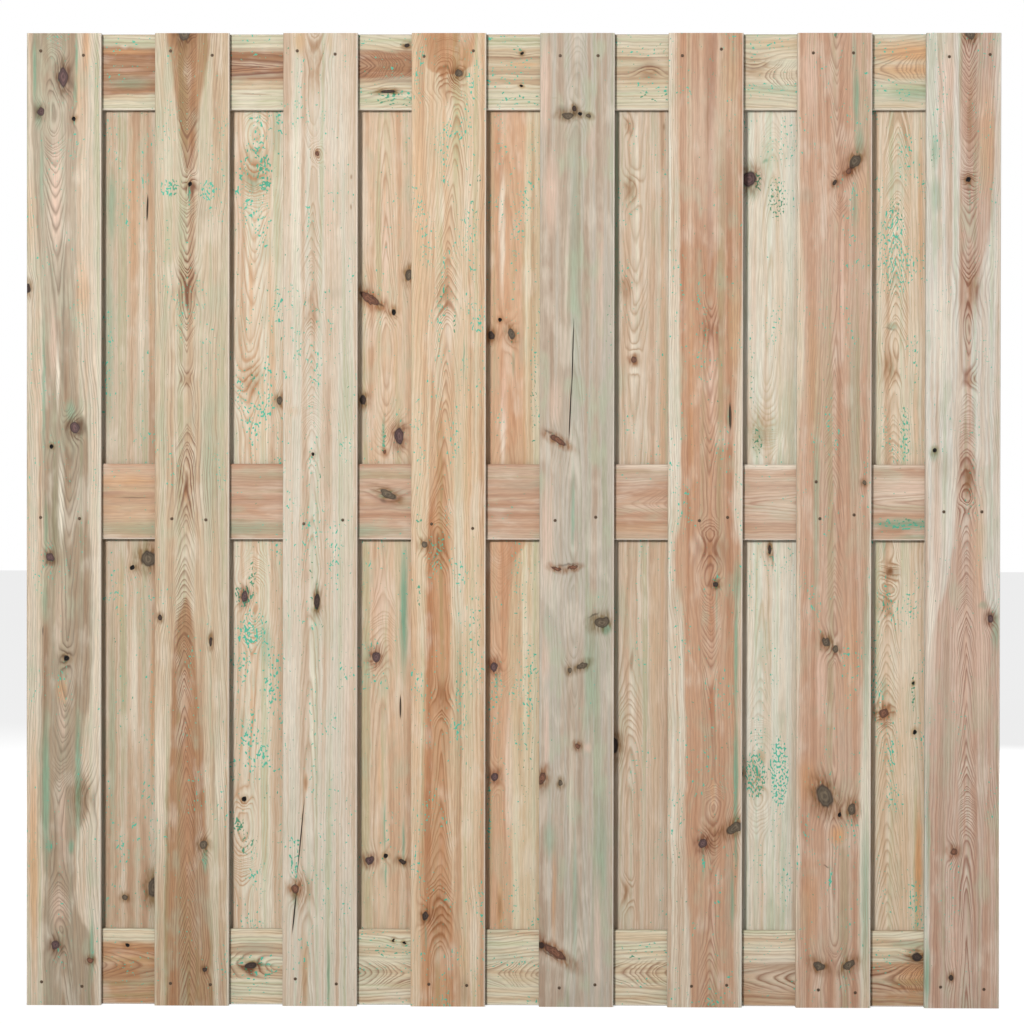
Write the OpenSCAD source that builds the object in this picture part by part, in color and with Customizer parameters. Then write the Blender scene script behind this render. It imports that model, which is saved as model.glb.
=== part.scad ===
// Garden screen panel: upright planks nailed in turn to the front and to the
// back of three flat rails, so that each gap in front has a plank behind it.
// The origin is on the left edge, where the panel meets its post: X runs to
// the right, Y from the front to the back, and Z up from the bottom edge.

/* [Panel] */
// Overall width, from post to post
panel_w = 1800; // [1500:10:1900]
// Overall height, which is also the length of every upright plank
panel_h = 1800; // [1500:10:2100]

/* [Upright planks] */
// Width of a plank's face
plank_w = 138; // [125:1:150]
// Thickness of a plank
plank_t = 15; // [12:0.5:22]
// Number of planks on the front, with one fewer on the back
front_count = 8; // [8:1:10]

/* [Rails] */
// Height of a rail, which is a plank laid flat between the two layers
rail_h = 140; // [100:1:160]
// Thickness of a rail, which is the space between the two layers
rail_t = 15; // [12:0.5:22]
// How far the middle rail's centre lies above half the panel's height
middle_rail_lift = 34; // [0:1:120]

/* [Edges] */
// Radius of the eased long edges of planks and rails
arris_r = 2.5; // [0.5:0.5:4]

/* [Hidden] */
back_count = front_count - 1;
pitch = (panel_w - plank_w) / (front_count - 1);
front_y = -(rail_t + plank_t) / 2;
back_y = (rail_t + plank_t) / 2;

rail_bottom_z = rail_h / 2;
rail_middle_z = panel_h / 2 + middle_rail_lift;
rail_top_z = panel_h - rail_h / 2;

front_colour = "#d2b48c";
back_colour = "#c8ab86";
rail_colour = "#cdb08a";
arc_steps = 48;

// The left edge of a front plank, counted from 0 at the post
function front_x(i) = i * pitch;

// A back plank is centred behind the gap to the right of front plank i
function back_x(i) = front_x(i) + pitch / 2;

// The section of a planed board, width along X and thickness along Y
module board_section(width, thickness) {
    across = width / 2 - arris_r;
    through = thickness / 2 - arris_r;
    square([width, 2 * through], center = true);
    square([2 * across, thickness], center = true);
    for (x = [-across, across], y = [-through, through])
        translate([x, y]) circle(r = arris_r, $fn = arc_steps);
}

// An upright plank with its left edge at x and its middle at depth y
module plank(x, y) {
    translate([x + plank_w / 2, y, 0])
        linear_extrude(height = panel_h)
            board_section(plank_w, plank_t);
}

// A rail that runs the whole width with its centre line at height z
module rail(z) {
    translate([0, 0, z])
        rotate([0, 90, 0])
            linear_extrude(height = panel_w)
                board_section(rail_h, rail_t);
}

module rail_top() color(rail_colour) rail(rail_top_z);
module rail_middle() color(rail_colour) rail(rail_middle_z);
module rail_bottom() color(rail_colour) rail(rail_bottom_z);
module front_plank(i) color(front_colour) plank(front_x(i - 1), front_y);
module back_plank(i) color(back_colour) plank(back_x(i - 1), back_y);

rail_top();
rail_middle();
rail_bottom();
for (i = [1 : front_count])
    front_plank(i);
for (i = [1 : back_count])
    back_plank(i);
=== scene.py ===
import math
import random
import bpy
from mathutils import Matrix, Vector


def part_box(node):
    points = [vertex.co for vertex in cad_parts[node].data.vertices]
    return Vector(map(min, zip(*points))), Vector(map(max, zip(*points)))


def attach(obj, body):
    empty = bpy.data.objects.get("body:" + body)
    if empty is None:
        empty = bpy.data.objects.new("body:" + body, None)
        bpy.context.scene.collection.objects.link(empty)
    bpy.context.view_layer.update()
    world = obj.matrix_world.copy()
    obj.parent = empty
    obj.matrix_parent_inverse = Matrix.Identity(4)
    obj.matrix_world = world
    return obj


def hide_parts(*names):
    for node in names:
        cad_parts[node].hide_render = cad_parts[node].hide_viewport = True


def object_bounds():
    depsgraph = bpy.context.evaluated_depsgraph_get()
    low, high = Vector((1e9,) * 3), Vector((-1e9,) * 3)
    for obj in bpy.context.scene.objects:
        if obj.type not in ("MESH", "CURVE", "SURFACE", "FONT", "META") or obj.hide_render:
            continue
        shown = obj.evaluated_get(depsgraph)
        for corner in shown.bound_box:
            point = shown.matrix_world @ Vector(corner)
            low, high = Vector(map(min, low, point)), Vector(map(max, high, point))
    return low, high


bl_info = {
    "name": "Garden Screen Panel",
    "version": (1, 0, 0),
    "blender": (4, 5, 0),
    "location": "View3D > Sidebar > Screen Panel",
    "description": "Dresses a timber screen panel with treated pine boards and sunk nails",
    "category": "Object",
}

from typing import NamedTuple

import bmesh
import bpy
from mathutils import Vector

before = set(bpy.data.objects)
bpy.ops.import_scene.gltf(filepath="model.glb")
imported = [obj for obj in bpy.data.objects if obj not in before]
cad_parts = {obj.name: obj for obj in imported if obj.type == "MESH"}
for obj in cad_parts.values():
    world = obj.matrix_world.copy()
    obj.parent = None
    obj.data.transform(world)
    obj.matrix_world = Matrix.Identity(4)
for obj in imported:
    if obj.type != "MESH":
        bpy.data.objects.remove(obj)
cad_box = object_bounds()

FRONT_COUNT = sum(name.startswith("front_plank_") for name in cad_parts)
BACK_COUNT = sum(name.startswith("back_plank_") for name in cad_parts)
RAILS = ("rail_top", "rail_middle", "rail_bottom")
# Where nails are driven across a plank, as shares of its width, and how far the painted shade and grime round them
# reach in mm
NAIL_SHARES = (0.24, 0.76)
NAIL_SHADE_AND_GRIME = 3.6
MM = 0.001
METRE = 1000.0
PANEL_LENGTH = (cad_box[1].z - cad_box[0].z) * METRE

FAR = 1e5
# Side of the soft lamps, in metres
SOFT_LAMP = 2.0
# Beside the pith the lines show less, and follow only so much of the arches' rise
FLANK_LINES = 0.6
FLANK_RISE = 0.12
# How much darker a ring's line gets for each mm that a knot pulls it
CROWDING = 0.06
# How fast the thin rings of a knot's own wood follow each other
KNOT_CIRCLES = 14.0
# How far a knot's cast on the wood reaches, as a multiple of the knot's size
KNOT_CAST = 3.2
# How strong a stain may be
STAIN_LEVELS = (0.3, 0.45, 0.6, 0.8, 1.0)
# Where a board's faces are divided across a hollow, as a share of its half length from its middle
OFF_CENTRE = 0.17
# How softly the heartwood ends, in mm
HEART_EDGE = 5.0
# The share of latewood through one year: none in spring, dark at the end of summer, then a sharp stop
LATEWOOD = (
    (0.0, "#999999"), (0.1, "#000000"), (0.4, "#3A3A3A"), (0.68, "#C0C0C0"), (0.84, "#FFFFFF"), (1.0, "#AAAAAA"),
)
# Tints of the long bands in the grain, from green-grey over plain to pink-brown
GRAIN_TINTS = ((0.32, "#E2EBDA"), (0.45, "#FFFFFF"), (0.56, "#F9ECE2"), (0.68, "#E2C9B9"))

# Of a knot: the cast on the wood round it, its own wood, and the bark at its rim; a lost knot's hole is painted near
# black inside, as painted shade in its hollow
KNOT_HUES = {
    "eye": ("#CFAE8C", "#A57C50", "#8A6240"),
    "red": ("#C8A284", "#8E6048", "#402820"),
    "purple": ("#BEA292", "#735753", "#2E2022"),
    "grey": ("#BCA98C", "#786955", "#382E26"),
    "dark": ("#B89F82", "#4A382E", "#1E1612"),
    # Painted shade: the inside of a lost knot's hole is near black
    "hole": ("#D8C6AE", "#17110E", "#0C0907"),
}
MARK_HUES = {
    "pale": "#E9DFCC", "pink": "#DDBEAA", "orange": "#CF9A6A", "tan": "#C3A078", "grey": "#A99E8A",
    "brown": "#8A6443", "rust": "#B07C5C", "green": "#7BA085", "teal": "#45B095", "black": "#33261D",
}


class Knot(NamedTuple):
    """Where a branch was: its place and half sizes on the board's face in mm, and how far it pulls the rings."""

    x: float
    z: float
    half_x: float
    half_z: float
    kind: str = "dark"
    pull: float = 8.0
    lean: float = 0.0


class Mark(NamedTuple):
    """A stain or streak on the board's face: its place and half sizes in mm, its colour and how strong it is."""

    x: float
    z: float
    half_x: float
    half_z: float
    kind: str = "brown"
    strength: float = 0.8
    lean: float = 0.0


class Board(NamedTuple):
    """How one board was sawn. x runs across its face from its left or upper edge, z along it, in mm.

    band lists (z, left, right) for the darker heartwood, centre and depth place the pith, and where
    rise grows with z the rings close in arches that point up the board, core mm to either side of the pith.
    A check is a crack from drying: its upper end, its lower end, and half its width.
    """

    sap: str
    heart: str
    late: str
    band: tuple
    centre: tuple
    rise: tuple
    depth: tuple = ((0, 22), (1800, 22))
    ring: float = 5.0
    knots: tuple = ()
    marks: tuple = ()
    checks: tuple = ()
    nails: tuple = ()
    lines: float = 0.7
    heart_lines: float = 0.85
    bands: float = 0.9
    green: float = 0.4
    specks: float = 0.5
    width: float = 138.0
    core: float = 22.0


NO_HEART = ((0, 80, 40), (1800, 80, 40))
ALL_HEART = ((0, -60, 200), (1800, -60, 200))

FRONT_BOARDS = (
    Board(
        sap="#CDC0AC", heart="#A49580", late="#715D4A",
        band=(
            (0, 30, 125), (110, 30, 122), (160, 30, 104), (230, 34, 92), (310, 32, 94), (385, 27, 116),
            (455, 26, 102), (570, 27, 116), (700, 28, 121), (830, 37, 121), (900, 33, 111), (1030, 30, 113),
            (1110, 31, 96), (1250, 30, 92), (1430, 18, 92), (1640, 10, 93), (1800, 8, 93),
        ),
        centre=((0, 68), (300, 62), (600, 72), (1000, 78), (1200, 66), (1450, 56), (1800, 48)),
        core=18,
        depth=((0, 12), (1100, 12), (1500, 18), (1800, 12)),
        rise=(
            (0, 0), (130, 10), (290, 70), (330, 70), (470, 20), (640, -20), (830, -30), (1030, -60),
            (1100, -70), (1400, -90), (1560, -120), (1650, -160), (1690, -160), (1800, -90),
        ),
        knots=(
            Knot(67, 1719, 8, 16, "purple", 18), Knot(26, 1654, 6, 7, "purple", 12),
            Knot(87, 1643, 3.5, 4, "hole", 8), Knot(2, 1327, 5, 9, "dark", 10), Knot(89, 1072, 9, 9, "purple", 20),
            Knot(46, 1035, 3.5, 4, "hole", 6), Knot(44, 830, 7, 6.5, "purple", 12), Knot(74, 643, 5, 5, "hole", 14),
            Knot(102, 388, 10, 20, "eye", 16), Knot(54, 111, 7, 8, "purple", 14), Knot(118, 85, 5, 5, "red", 6),
        ),
        marks=(
            Mark(60, 1480, 70, 420, "pale", 0.3), Mark(66, 582, 15, 34, "orange", 0.6), Mark(66, 530, 10, 70, "pink", 0.5),
            Mark(14, 1730, 5, 90, "green", 0.9), Mark(22, 1650, 10, 40, "green", 0.6),
            Mark(92, 1755, 4, 60, "green", 0.8), Mark(90, 1690, 7, 40, "green", 0.6), Mark(41, 294, 9, 22, "teal", 0.4),
            Mark(41, 294, 10, 22, "green", 0.8), Mark(83, 294, 8, 20, "green", 0.8),
            Mark(54, 1500, 16, 160, "pink", 0.75), Mark(62, 740, 18, 150, "pink", 0.5),
            Mark(64, 930, 8, 120, "pale", 0.9), Mark(58, 1180, 6, 110, "pale", 0.8), Mark(50, 1230, 10, 110, "pink", 0.6),
            Mark(112, 1780, 12, 70, "orange", 0.4), Mark(95, 1690, 10, 90, "orange", 0.25),
            Mark(28, 1540, 6, 120, "green", 0.4), Mark(32, 1150, 5, 180, "green", 0.6),
            Mark(36, 880, 6, 90, "green", 0.6), Mark(34, 760, 8, 60, "green", 0.45),
            Mark(8, 1460, 14, 120, "orange", 0.3), Mark(60, 180, 22, 60, "pink", 0.4), Mark(13, 230, 14, 160, "tan", 0.55),
            Mark(130, 900, 16, 900, "pale", 0.35), Mark(95, 300, 5, 120, "pale", 0.6), Mark(122, 110, 5, 90, "green", 0.8),
            Mark(104, 1330, 18, 90, "orange", 0.45), Mark(62, 1350, 14, 70, "grey", 0.4),
            Mark(82, 1100, 12, 30, "green", 0.55), Mark(30, 695, 2, 14, "black", 0.9),
            Mark(36, 400, 11, 200, "green", 0.8), Mark(95, 420, 9, 180, "green", 0.8),
            Mark(13, 300, 16, 300, "orange", 0.45), Mark(66, 340, 12, 130, "pink", 0.45),
        ),
        nails=(26, 1767, 105, 1759, 26, 904, 98, 902, 28, 43, 103, 35),
        heart_lines=0.65,
    ),
    Board(
        sap="#C7B9A1", heart="#AA8868", late="#7B533A",
        band=(
            (0, 20, 112), (300, 22, 100), (480, 30, 88), (640, 36, 76), (700, 40, 72), (750, 56, 62),
            (800, 64, 52), (1480, 62, 52), (1560, 54, 66), (1660, 40, 80), (1720, 30, 92), (1800, 20, 106),
        ),
        centre=((0, 66), (300, 62), (700, 56), (1100, 58), (1400, 60), (1800, 60)),
        core=16, depth=((0, 8), (600, 9), (760, 14), (1000, 10), (1400, 12), (1600, 7), (1800, 10)),
        rise=(
            (0, 0), (300, 100), (680, 200), (770, 262), (900, 296), (1000, 305), (1112, 345), (1180, 345),
            (1310, 300), (1450, 275), (1510, 235), (1590, 215), (1790, 85), (1800, 80),
        ),
        ring=4.5,
        knots=(
            Knot(54, 1800, 10, 12, "grey", 16), Knot(65, 1521, 4, 4.5, "hole", 14), Knot(60, 1334, 9, 22, "eye", 16),
            Knot(58, 1162, 5, 7, "eye", 9), Knot(58, 972, 8, 44, "eye", 12), Knot(10, 719, 4, 4.5, "dark", 6),
            Knot(104, 676, 3, 8, "dark", 6), Knot(91, 298, 7, 7, "grey", 14), Knot(94, 68, 4, 4, "dark", 7),
        ),
        marks=(
            Mark(50, 1780, 34, 60, "brown", 0.35), Mark(64, 1500, 4, 26, "teal", 1.0), Mark(64, 1500, 4, 22, "green", 0.9),
            Mark(28, 1514, 24, 24, "teal", 1.0), Mark(98, 1508, 22, 26, "teal", 1.0), Mark(64, 1512, 5, 20, "black", 0.35), Mark(96, 1230, 20, 80, "teal", 0.5),
            Mark(60, 1300, 30, 60, "teal", 0.4), Mark(20, 1380, 16, 120, "teal", 0.45),
            Mark(90, 1470, 22, 40, "grey", 0.35), Mark(95, 1280, 20, 36, "grey", 0.35), Mark(94, 270, 7, 34, "green", 0.8),
            Mark(94, 280, 6, 30, "teal", 0.7), Mark(110, 420, 4, 110, "brown", 0.5), Mark(120, 520, 3, 160, "green", 0.35),
            Mark(104, 560, 3, 150, "green", 0.35), Mark(10, 420, 16, 260, "pale", 0.6), Mark(122, 420, 12, 170, "pale", 0.45),
            Mark(85, 200, 26, 120, "grey", 0.35), Mark(58, 690, 16, 34, "brown", 0.5), Mark(58, 950, 5, 22, "orange", 0.6),
            Mark(105, 1000, 24, 200, "green", 0.25), Mark(22, 1560, 18, 130, "pale", 0.3),
            Mark(60, 400, 16, 320, "rust", 0.45),
        ),
        nails=(29, 1767, 106, 1759, 32, 902, 95, 900, 30, 41, 104, 39),
        heart_lines=0.95,
    ),
    Board(
        sap="#D0C7B7", heart="#C1AB91", late="#A58464", band=NO_HEART,
        centre=((0, 46), (500, 50), (1000, 56), (1300, 53), (1560, 58), (1800, 60)),
        core=18, depth=((0, 22), (900, 18), (1100, 11), (1300, 12), (1800, 16)),
        rise=(
            (0, 0), (900, 40), (1050, 60), (1130, 125), (1250, 165), (1310, 175), (1480, 225), (1550, 228),
            (1640, 210), (1720, 200), (1800, 190),
        ),
        ring=4.5,
        knots=(
            Knot(59, 1748, 7, 26, "eye", 10), Knot(63, 1578, 3.5, 4, "red", 24), Knot(53, 1290, 6, 18, "eye", 10),
            Knot(56, 1022, 3, 4, "hole", 5), Knot(63, 749, 5, 14, "dark", 8), Knot(24, 218, 7, 8, "red", 12),
            Knot(39, 212, 8, 18, "eye", 8),
        ),
        marks=(
            Mark(44, 414, 5, 20, "brown", 0.7), Mark(44, 414, 7, 26, "orange", 0.6), Mark(85, 60, 4, 90, "green", 1.0),
            Mark(30, 1785, 18, 40, "tan", 0.75), Mark(86, 1785, 12, 36, "tan", 0.5), Mark(24, 1490, 14, 260, "pale", 0.4),
            Mark(63, 760, 4, 44, "green", 0.9), Mark(63, 750, 3, 36, "black", 0.7), Mark(24, 205, 8, 30, "green", 0.7),
            Mark(42, 60, 9, 120, "tan", 0.8), Mark(41, 40, 7, 90, "brown", 0.35), Mark(22, 280, 14, 60, "teal", 0.8),
            Mark(50, 1360, 20, 120, "teal", 0.35), Mark(66, 860, 40, 300, "teal", 0.3), Mark(120, 620, 16, 600, "pink", 0.3),
            Mark(55, 560, 6, 300, "pale", 0.6), Mark(85, 1500, 14, 160, "pink", 0.35), Mark(96, 1320, 26, 16, "grey", 0.3),
            Mark(20, 1100, 18, 14, "tan", 0.35), Mark(126, 1480, 3, 8, "brown", 0.7), Mark(126, 1535, 3, 8, "brown", 0.6),
            Mark(36, 300, 2.5, 60, "grey", 0.6),
        ),
        checks=((41, 388, 27, 240, 0.8), (26, 212, 18, 131, 1.3)),
        nails=(26, 1767, 96, 1761, 39, 893, 111, 900, 24, 50, 100, 41),
        lines=0.62, green=0.25,
    ),
    Board(
        sap="#D3BEA2", heart="#C09774", late="#9B6A44",
        band=(
            (0, 18, 82), (150, 20, 80), (270, 18, 76), (300, 20, 72), (860, 28, 70), (960, 42, 64),
            (1100, 50, 60), (1180, 62, 50), (1700, 62, 50), (1728, 40, 90), (1742, 26, 112), (1800, 22, 118),
        ),
        centre=((0, 54), (300, 56), (620, 58), (860, 50), (1000, 60), (1400, 68), (1660, 84), (1700, 66), (1800, 66)),
        depth=((0, 20), (500, 14), (1000, 12), (1500, 14), (1800, 26)),
        rise=(
            (0, 0), (150, 5), (260, 60), (330, 78), (560, 100), (620, 112), (840, 112), (930, 156), (1100, 185),
            (1290, 215), (1400, 262), (1560, 290), (1680, 310), (1720, 318), (1800, 420),
        ),
        knots=(
            Knot(88, 1726, 7, 7, "grey", 18), Knot(68, 1716, 8, 18, "eye", 14), Knot(62, 1310, 7, 16, "eye", 10),
            Knot(25, 854, 6, 6, "grey", 12), Knot(52, 848, 7, 14, "eye", 16), Knot(60, 567, 6, 14, "eye", 14),
            Knot(53, 174, 9, 26, "eye", 18), Knot(27, 168, 6, 7, "dark", 12),
        ),
        marks=(
            Mark(88, 700, 12, 480, "green", 0.3), Mark(125, 1530, 6, 12, "teal", 1.0), Mark(62, 1532, 6, 14, "teal", 0.95), Mark(80, 1268, 4, 40, "teal", 0.8),
            Mark(97, 1198, 2, 60, "green", 0.8), Mark(14, 902, 7, 16, "teal", 1.0), Mark(14, 763, 6, 40, "teal", 0.9),
            Mark(100, 30, 16, 50, "brown", 0.5), Mark(98, 90, 12, 60, "tan", 0.6), Mark(46, 1780, 30, 50, "brown", 0.3),
            Mark(104, 1490, 12, 160, "pale", 0.45), Mark(56, 1480, 8, 60, "pale", 0.5), Mark(70, 1250, 12, 120, "pale", 0.5),
            Mark(12, 1400, 14, 400, "orange", 0.35), Mark(118, 700, 18, 120, "teal", 0.7), Mark(92, 560, 16, 160, "teal", 0.55),
            Mark(22, 1420, 14, 100, "teal", 0.6), Mark(112, 1420, 14, 140, "teal", 0.6), Mark(90, 820, 14, 200, "pale", 0.4),
            Mark(28, 130, 3, 40, "green", 0.7), Mark(104, 960, 12, 300, "orange", 0.3), Mark(62, 1600, 6, 60, "teal", 0.7),
            Mark(118, 120, 16, 100, "pale", 0.5),
        ),
        nails=(23, 1757, 114, 1767, 38, 893, 114, 885, 34, 41, 104, 39),
        specks=0.7, green=0.15,
    ),
    Board(
        sap="#B8AEA0", heart="#AB937E", late="#948873", band=NO_HEART,
        centre=((0, 72), (500, 66), (1000, 62), (1500, 66), (1800, 66)),
        depth=((0, 16), (1800, 20)),
        rise=((0, 0), (400, 20), (800, -10), (1300, 10), (1640, 20), (1800, 50)),
        knots=(
            Knot(51, 1648, 11, 5, "grey", 6), Knot(64, 1660, 4, 5, "dark", 6), Knot(75, 1651, 3.5, 3.5, "hole", 4),
            Knot(90, 1647, 5, 3.5, "grey", 5), Knot(34, 1047, 16, 5, "red", 8, 30), Knot(32, 812, 9, 4, "red", 5, 10),
            Knot(62, 812, 9, 4, "red", 5, -12), Knot(116, 712, 14, 9, "grey", 10, -12), Knot(56, 623, 4, 5, "grey", 6),
            Knot(80, 632, 10, 5, "grey", 5, -30), Knot(71, 484, 5, 5, "red", 6), Knot(5, 423, 7, 12, "red", 6, 20),
            Knot(40, 414, 4, 6, "grey", 6), Knot(30, 102, 25, 7, "red", 8, 38), Knot(4, 116, 6, 5, "dark", 5),
        ),
        marks=(
            Mark(9, 1700, 16, 130, "pink", 0.65), Mark(20, 1500, 20, 110, "pink", 0.6), Mark(96, 1600, 12, 90, "pink", 0.3),
            Mark(66, 1400, 16, 420, "green", 0.35), Mark(112, 1330, 10, 200, "pink", 0.4), Mark(128, 1250, 10, 80, "teal", 0.4),
            Mark(28, 1120, 18, 60, "pink", 0.4), Mark(16, 880, 18, 160, "pink", 0.55), Mark(62, 920, 5, 120, "green", 0.7),
            Mark(96, 620, 18, 160, "green", 0.45), Mark(12, 640, 12, 60, "pink", 0.4), Mark(14, 500, 7, 120, "pink", 0.55),
            Mark(28, 200, 6, 130, "orange", 0.45), Mark(20, 310, 18, 50, "green", 0.5), Mark(116, 300, 16, 160, "green", 0.5),
            Mark(108, 120, 10, 200, "pink", 0.45), Mark(66, 200, 8, 200, "green", 0.5), Mark(40, 1660, 14, 10, "black", 0.25),
            Mark(34, 1676, 22, 2.5, "grey", 0.6, 28), Mark(64, 1600, 18, 40, "grey", 0.4),
            Mark(100, 724, 16, 3, "black", 0.6, -24), Mark(124, 700, 14, 16, "green", 0.8), Mark(18, 1062, 14, 3, "black", 0.5, 30),
            Mark(14, 412, 20, 40, "grey", 0.6), Mark(52, 818, 30, 3, "black", 0.5),
            Mark(60, 400, 8, 200, "pale", 0.4), Mark(20, 98, 30, 3, "black", 0.6, 38), Mark(48, 1350, 10, 160, "pale", 0.35),
            Mark(90, 480, 10, 12, "pink", 0.6),
        ),
        checks=((63, 1275, 59, 1130, 0.9), (59, 1160, 54, 1042, 1.0)),
        nails=(37, 1758, 107, 1758, 29, 900, 104, 906, 38, 35, 104, 41),
        lines=0.5, heart_lines=0.5, green=0.6, specks=0.25,
    ),
    Board(
        sap="#D6CFBE", heart="#C09E83", late="#976B53",
        band=(
            (0, 44, 128), (120, 42, 126), (330, 34, 132), (470, 37, 130), (600, 30, 128), (740, 24, 128),
            (830, 12, 138), (920, 23, 122), (1150, 24, 126), (1300, 20, 136), (1500, 16, 142), (1800, 12, 144),
        ),
        centre=((0, 77), (300, 80), (460, 86), (600, 80), (900, 77), (1200, 77), (1800, 78)),
        core=16, depth=((0, 10), (400, 14), (1000, 12), (1400, 18), (1800, 26)),
        rise=(
            (0, 20), (60, 40), (180, 60), (240, 60), (320, 15), (370, 10), (420, 50), (530, 50), (700, 10),
            (830, -60), (870, -60), (920, -25), (1100, -50), (1250, -70), (1800, -90),
        ),
        knots=(
            Knot(78, 1255, 10, 16, "eye", 8), Knot(76, 850, 8, 18, "eye", 18), Knot(88, 783, 5, 5, "dark", 12),
            Knot(66, 303, 8, 9, "purple", 16), Knot(124, 333, 16, 8, "grey", 16, -28), Knot(82, 318, 8, 14, "eye", 8),
        ),
        marks=(
            Mark(81, 560, 8, 60, "rust", 1.0), Mark(82, 720, 7, 110, "rust", 0.6), Mark(84, 215, 8, 130, "rust", 0.45), Mark(80, 500, 5, 30, "brown", 0.35), Mark(84, 400, 7, 60, "orange", 0.5),
            Mark(126, 420, 7, 180, "green", 1.0), Mark(126, 660, 6, 200, "green", 0.8), Mark(120, 200, 6, 90, "green", 0.8), Mark(127, 300, 4, 60, "green", 0.8), Mark(66, 270, 4, 30, "teal", 0.9),
            Mark(66, 270, 4, 34, "green", 0.7), Mark(125, 270, 5, 40, "teal", 0.8), Mark(128, 780, 12, 70, "green", 0.7),
            Mark(98, 840, 22, 40, "brown", 0.35), Mark(78, 1560, 9, 220, "pink", 0.6), Mark(80, 1180, 9, 180, "pink", 0.65),
            Mark(112, 1700, 26, 110, "tan", 0.5), Mark(104, 1520, 26, 120, "brown", 0.25), Mark(122, 1250, 20, 130, "tan", 0.55),
            Mark(84, 140, 9, 130, "pink", 0.4), Mark(112, 210, 10, 200, "grey", 0.5), Mark(90, 760, 3, 120, "green", 0.5),
            Mark(12, 740, 18, 60, "grey", 0.2), Mark(14, 330, 22, 120, "teal", 0.45), Mark(72, 1650, 3, 150, "brown", 0.4),
            Mark(44, 1100, 10, 300, "orange", 0.3), Mark(72, 990, 3, 120, "brown", 0.4), Mark(134, 1000, 8, 240, "pale", 0.4),
            Mark(112, 1090, 6, 30, "green", 0.5), Mark(70, 1600, 80, 260, "pale", 0.3),
        ),
        checks=((114, 1121, 115, 1064, 2.4),),
        nails=(25, 1758, 97, 1770, 58, 900, 110, 906, 45, 39, 110, 41),
        heart_lines=0.75,
    ),
    Board(
        sap="#DBD2BF", heart="#C5A892", late="#99725C",
        band=(
            (0, 2, 120), (300, 3, 118), (500, 3, 122), (700, 5, 128), (900, 4, 136), (1050, 5, 140),
            (1240, 14, 144), (1400, 10, 144), (1500, 4, 142), (1800, 2, 142),
        ),
        centre=((0, 76), (300, 72), (700, 70), (1100, 70), (1420, 76), (1560, 72), (1800, 72)),
        core=14, depth=((0, 14), (700, 7), (1200, 7), (1500, 8), (1800, 10)),
        rise=(
            (0, 20), (60, 20), (140, 0), (300, 0), (700, 20), (860, 70), (960, 80), (1190, 170), (1380, 180),
            (1430, 180), (1500, 150), (1640, 125), (1800, 90),
        ),
        knots=(
            Knot(106, 1562, 8, 15, "grey", 12, 32), Knot(94, 1545, 5, 6, "red", 6), Knot(69, 1525, 4, 4.5, "dark", 14),
            Knot(55, 676, 7, 9, "grey", 12, -35), Knot(72, 662, 5, 6, "grey", 8), Knot(53, 392, 13, 21, "grey", 14, -25),
            Knot(103, 368, 7, 11, "grey", 10), Knot(80, 357, 3.5, 4, "hole", 10), Knot(43, 78, 11, 7, "grey", 8, 30),
            Knot(99, 78, 12, 7, "grey", 8, -35), Knot(124, 970, 3.5, 4.5, "grey", 4),
        ),
        marks=(
            Mark(108, 1680, 9, 90, "green", 0.85), Mark(104, 1760, 6, 60, "green", 0.5), Mark(114, 1600, 14, 40, "green", 0.6),
            Mark(106, 1480, 9, 70, "green", 0.4), Mark(70, 1796, 5, 9, "teal", 1.0), Mark(70, 1794, 4, 8, "black", 0.6),
            Mark(63, 240, 3, 26, "teal", 1.0), Mark(63, 246, 3, 26, "green", 0.9), Mark(56, 262, 9, 2, "black", 0.7, 30),
            Mark(82, 1340, 10, 180, "pink", 0.6), Mark(24, 1720, 22, 110, "pink", 0.5), Mark(16, 1500, 22, 22, "grey", 0.45),
            Mark(36, 950, 8, 330, "green", 0.45), Mark(104, 1100, 14, 260, "green", 0.3), Mark(45, 600, 14, 110, "pink", 0.6),
            Mark(20, 420, 26, 60, "orange", 0.5), Mark(40, 380, 30, 40, "brown", 0.25), Mark(76, 320, 22, 26, "orange", 0.75),
            Mark(100, 640, 26, 160, "orange", 0.35), Mark(66, 200, 12, 160, "pale", 0.4), Mark(128, 200, 12, 220, "green", 0.55),
            Mark(26, 200, 24, 120, "orange", 0.3), Mark(129, 640, 10, 260, "green", 0.4), Mark(30, 1160, 20, 200, "tan", 0.4),
            Mark(120, 1490, 16, 120, "orange", 0.35), Mark(22, 250, 30, 12, "grey", 0.35),
        ),
        nails=(29, 1763, 103, 1763, 36, 972, 43, 904, 106, 911, 42, 33, 110, 28),
        heart_lines=0.8, green=0.25,
    ),
    Board(
        sap="#D3CEC3", heart="#C3AB9A", late="#8F6653",
        band=(
            (0, 8, 144), (300, 8, 144), (640, 10, 144), (720, 22, 130), (800, 44, 104), (960, 62, 98),
            (1080, 70, 92), (1200, 74, 84), (1330, 66, 96), (1480, 64, 122), (1700, 62, 130), (1800, 66, 128),
        ),
        centre=((0, 78), (300, 80), (500, 76), (800, 78), (1000, 80), (1400, 82), (1800, 80)),
        core=15, depth=((0, 9), (340, 12), (700, 9), (1060, 20), (1300, 12), (1500, 14), (1800, 8)),
        rise=(
            (0, 0), (290, 20), (340, 40), (440, 110), (650, 140), (700, 150), (860, 230), (910, 238), (950, 220),
            (990, 226), (1140, 320), (1170, 325), (1300, 312), (1460, 290), (1530, 240), (1560, 225), (1790, 100),
            (1800, 96),
        ),
        ring=4.5,
        knots=(
            Knot(78, 1529, 4.5, 4.5, "hole", 16), Knot(84, 1327, 7, 26, "eye", 18), Knot(84, 1162, 4, 7, "eye", 8),
            Knot(79, 974, 7, 24, "eye", 12), Knot(16, 1029, 3.5, 4, "hole", 5), Knot(120, 721, 5.5, 7, "purple", 14),
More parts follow.
